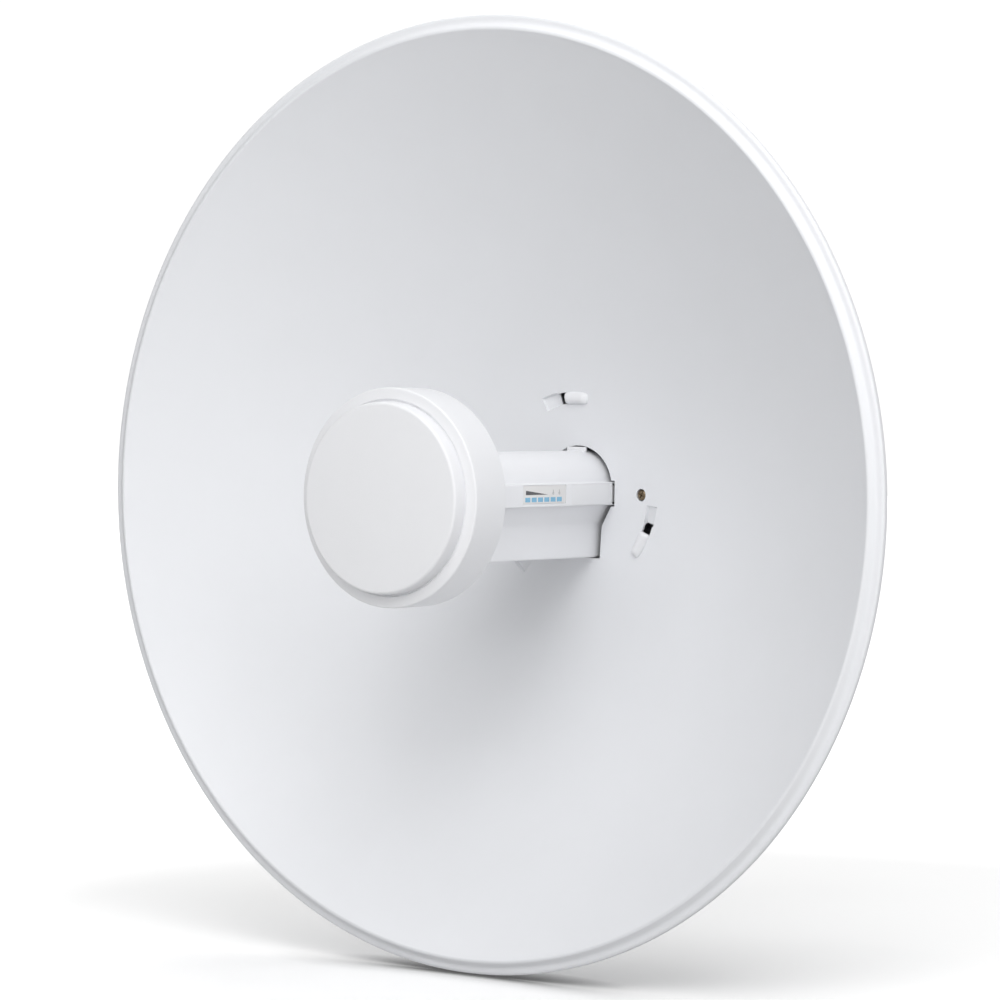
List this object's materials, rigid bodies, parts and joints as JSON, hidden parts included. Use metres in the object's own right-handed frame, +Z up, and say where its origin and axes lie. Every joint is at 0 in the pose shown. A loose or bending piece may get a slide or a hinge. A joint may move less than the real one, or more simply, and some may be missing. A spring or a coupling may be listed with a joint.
{
  "type": "outdoor wireless bridge",
  "caption": "Outdoor wireless bridge: a parabolic dish with a pull-out radio feed on its axis, held on a pole by a tilting clamp bracket.",
  "frame": {"origin": "on the axis of the pole, level with the axis of the dish", "axes": "+Z up along the pole, -Y out of the front of the dish, +X to the right of someone who faces the dish"},
  "size_m": [0.42, 0.3013, 0.42],
  "materials": {
    "dish_paint": "white powder coat, slightly glossy",
    "white_plastic": "outdoor white polymer, fine texture",
    "grey_plastic": "light grey polymer",
    "zinc": "zinc plated steel",
    "yellow_zinc": "yellow zinc plated steel",
    "tinned": "tin plated steel",
    "circuit_board": "green solder mask",
    "copper": "bare copper alloy",
    "light_guide": "clear blue tinted plastic",
    "label_film": "satin printed film",
    "black_rubber": "matt black rubber",
    "black_plastic": "black polymer",
    "coax_jacket": "brown fluoropolymer jacket"
  },
  "bodies": {
    "pole_mount": {"pole_bracket": "zinc", "clamp_bolt_right": "zinc", "clamp_bolt_left": "zinc", "pivot_bolt_right": "zinc", "pivot_nut_right": "zinc", "pivot_bolt_left": "zinc", "pivot_nut_left": "zinc", "tilt_lock_bolt_right": "zinc", "tilt_lock_nut_right": "zinc", "tilt_lock_bolt_left": "zinc", "tilt_lock_nut_left": "zinc"},
    "clamp": {"clamp_jaw": "zinc", "clamp_nut_right": "zinc", "clamp_nut_left": "zinc"},
    "dish": {"dish_reflector": "dish_paint", "bayonet_plate": "white_plastic", "plate_gasket": "black_rubber", "rear_housing": "white_plastic", "lock_screw": "yellow_zinc", "door_pin": "zinc", "tilt_bracket": "zinc", "housing_bolt_1": "zinc", "housing_bolt_2": "zinc", "housing_bolt_3": "zinc", "housing_bolt_4": "zinc"},
    "cable_door": {"cable_door": "white_plastic", "cable_grommet": "black_rubber"},
    "latch_right": {"latch_right": "white_plastic"},
    "latch_left": {"latch_left": "white_plastic"},
    "reset_button": {"reset_button": "grey_plastic"},
    "feed": {"antenna_board": "circuit_board", "board_screw_1": "zinc", "board_screw_2": "zinc", "coax_lead_left": "coax_jacket", "coax_lead_right": "coax_jacket", "ethernet_jack": "tinned", "ground_plate": "tinned", "indicator_label": "label_film", "lan_transformer": "black_plastic", "light_pipe": "light_guide", "patch_element": "copper", "patch_post_1": "white_plastic", "patch_post_2": "white_plastic", "patch_post_3": "white_plastic", "patch_post_4": "white_plastic", "radio_board": "circuit_board", "radome_cap": "white_plastic", "radome_drum": "white_plastic", "radome_seal": "black_rubber", "reset_switch": "black_plastic", "shield_can_front": "tinned", "shield_can_rear": "tinned", "standoff_1": "tinned", "standoff_2": "tinned", "standoff_3": "tinned", "standoff_4": "tinned", "tube_lower_shell": "white_plastic", "tube_upper_shell": "white_plastic"}
  },
  "joints": [
    {"name": "tilt", "type": "hinge", "parent": "pole_mount", "child": "dish", "pos_m": [0, -0.048, 0], "axis": [-1, 0, 0], "range_deg": [-20, 20]},
    {"name": "clamp_close", "type": "slide", "parent": "pole_mount", "child": "clamp", "axis": [0, -1, 0], "range_m": [-0.006, 0.016]},
    {"name": "feed_pull", "type": "slide", "parent": "dish", "child": "feed", "axis": [0, -1, 0], "range_m": [0, 0.13]},
    {"name": "latch_right_press", "type": "slide", "parent": "feed", "child": "latch_right", "axis": [-1, 0, 0], "range_m": [0, 0.0016], "stiffness_N_per_m": 400, "springref_m": -0.001},
    {"name": "latch_left_press", "type": "slide", "parent": "feed", "child": "latch_left", "axis": [1, 0, 0], "range_m": [0, 0.0016], "stiffness_N_per_m": 400, "springref_m": -0.001},
    {"name": "reset_press", "type": "slide", "parent": "feed", "child": "reset_button", "axis": [0, 0, 1], "range_m": [0, 0.0007], "stiffness_N_per_m": 300, "springref_m": -0.001},
    {"name": "cable_door_hinge", "type": "hinge", "parent": "dish", "child": "cable_door", "pos_m": [0, -0.076, -0.074], "axis": [1, 0, 0], "range_deg": [0, 95]}
  ]
}
